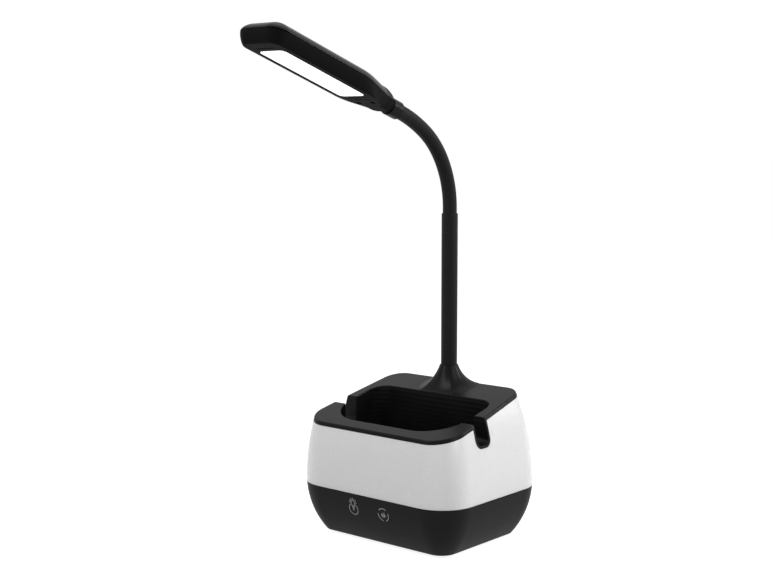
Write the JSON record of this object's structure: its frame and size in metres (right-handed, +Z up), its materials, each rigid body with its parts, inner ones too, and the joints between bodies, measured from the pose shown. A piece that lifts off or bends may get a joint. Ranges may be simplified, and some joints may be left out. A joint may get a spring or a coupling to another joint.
{
  "type": "desk lamp with pen cup base",
  "caption": "LED desk lamp with a slim head on a flexible neck and a rounded two-tone base that holds an open pen cup and a phone slot.",
  "frame": {"origin": "centre of the base on the table plane, midway between the feet", "axes": "+Z up, front with the touch controls toward -Y, +X toward the right side seen from the front"},
  "size_m": [0.1506, 0.2281, 0.3725],
  "materials": {
    "foot_rubber": "matte black rubber",
    "charcoal_plastic": "fine-grained charcoal ABS",
    "black_plastic": "satin black ABS",
    "opal_plastic": "translucent opal acrylic, lit from inside",
    "lens_plastic": "frosted light-spreading acrylic",
    "white_plastic": "white reflecting polycarbonate",
    "circuit_board": "white solder-masked glass-epoxy board",
    "led_white": "white light source under clear resin",
    "screw_steel": "zinc-plated steel",
    "spring_steel": "plain spring steel",
    "ballast_iron": "raw cast iron plate",
    "stem_steel": "plain drawn steel tube",
    "core_steel": "wound galvanised steel",
    "sleeve_rubber": "satin black silicone rubber",
    "lead_jacket": "black lead jacket",
    "collar_metal": "satin black paint"
  },
  "bodies": {
    "base": {"rubber_feet": "foot_rubber", "bottom_cover": "charcoal_plastic", "cover_screws": "screw_steel", "ballast_plate": "ballast_iron", "ballast_screws": "screw_steel", "lower_housing": "charcoal_plastic", "control_board": "circuit_board", "board_screws": "screw_steel", "power_inlet": "black_plastic", "touch_board": "circuit_board", "touch_springs": "spring_steel", "mood_light_board": "circuit_board", "mood_leds": "led_white", "diffuser_ring": "opal_plastic", "top_tray": "black_plastic", "tray_screws": "screw_steel", "stem_tube": "stem_steel", "stem_cover": "black_plastic", "stem_washer": "screw_steel", "stem_nut": "screw_steel", "neck_sleeve": "sleeve_rubber", "lamp_lead": "lead_jacket"},
    "link_01": {"neck_link_01": "core_steel"},
    "link_02": {"neck_link_02": "core_steel"},
    "link_03": {"neck_link_03": "core_steel"},
    "link_04": {"neck_link_04": "core_steel"},
    "link_05": {"neck_link_05": "core_steel"},
    "link_06": {"neck_link_06": "core_steel"},
    "link_07": {"neck_link_07": "core_steel"},
    "link_08": {"neck_link_08": "core_steel"},
    "link_09": {"neck_link_09": "core_steel"},
    "link_10": {"neck_link_10": "core_steel"},
    "link_11": {"neck_link_11": "core_steel"},
    "head": {"neck_collar": "collar_metal", "head_frame": "black_plastic", "head_cover": "black_plastic", "head_diffuser": "lens_plastic", "light_box": "white_plastic", "head_led_board": "circuit_board", "head_leds": "led_white", "head_screws": "screw_steel"}
  },
  "joints": [
    {"name": "neck_bend", "type": "hinge", "parent": "base", "child": "link_01", "pos_m": [0, 0.0364, 0.2453], "axis": [1, 0, 0], "range_deg": [-10, 8], "deforming": ["neck_sleeve", "lamp_lead"]},
    {"name": "neck_sway", "type": "hinge", "parent": "link_01", "child": "link_02", "pos_m": [0, 0.0358, 0.25413], "axis": [0, 0.9914, 0.1309], "range_deg": [-8, 8]},
    {"name": "neck_bend_2", "type": "hinge", "parent": "link_02", "child": "link_03", "pos_m": [0, 0.03409, 0.26282], "axis": [1, 0, 0], "range_deg": [-10, 8]},
    {"name": "neck_sway_2", "type": "hinge", "parent": "link_03", "child": "link_04", "pos_m": [0, 0.03129, 0.27122], "axis": [0, 0.9268, 0.3757], "range_deg": [-8, 8]},
    {"name": "neck_bend_3", "type": "hinge", "parent": "link_04", "child": "link_05", "pos_m": [0, 0.02745, 0.2792], "axis": [1, 0, 0], "range_deg": [-10, 8]},
    {"name": "neck_sway_3", "type": "hinge", "parent": "link_05", "child": "link_06", "pos_m": [0, 0.02263, 0.28663], "axis": [0, 0.8027, 0.5964], "range_deg": [-8, 8]},
    {"name": "neck_bend_4", "type": "hinge", "parent": "link_06", "child": "link_07", "pos_m": [0, 0.01691, 0.29339], "axis": [1, 0, 0], "range_deg": [-10, 8]},
    {"name": "neck_sway_4", "type": "hinge", "parent": "link_07", "child": "link_08", "pos_m": [0, 0.01038, 0.29936], "axis": [0, 0.6272, 0.7789], "range_deg": [-8, 8]},
    {"name": "neck_bend_5", "type": "hinge", "parent": "link_08", "child": "link_09", "pos_m": [0, 0.00315, 0.30448], "axis": [1, 0, 0], "range_deg": [-10, 8]},
    {"name": "neck_sway_5", "type": "hinge", "parent": "link_09", "child": "link_10", "pos_m": [0, -0.0045, 0.30894], "axis": [0, 0.4718, 0.8817], "range_deg": [-8, 8]},
    {"name": "neck_bend_6", "type": "hinge", "parent": "link_10", "child": "link_11", "pos_m": [0, -0.01246, 0.31283], "axis": [1, 0, 0], "range_deg": [-10, 8]},
    {"name": "neck_sway_6", "type": "hinge", "parent": "link_11", "child": "head", "pos_m": [0, -0.02068, 0.31614], "axis": [0, 0.3392, 0.9407], "range_deg": [-8, 8]}
  ],
  "couplings": [
    {"joint": "neck_bend_2", "follows": "neck_bend", "ratio": 1},
    {"joint": "neck_sway_2", "follows": "neck_sway", "ratio": 1},
    {"joint": "neck_bend_3", "follows": "neck_bend", "ratio": 1},
    {"joint": "neck_sway_3", "follows": "neck_sway", "ratio": 1},
    {"joint": "neck_bend_4", "follows": "neck_bend", "ratio": 1},
    {"joint": "neck_sway_4", "follows": "neck_sway", "ratio": 1},
    {"joint": "neck_bend_5", "follows": "neck_bend", "ratio": 1},
    {"joint": "neck_sway_5", "follows": "neck_sway", "ratio": 1},
    {"joint": "neck_bend_6", "follows": "neck_bend", "ratio": 1},
    {"joint": "neck_sway_6", "follows": "neck_sway", "ratio": 1}
  ]
}
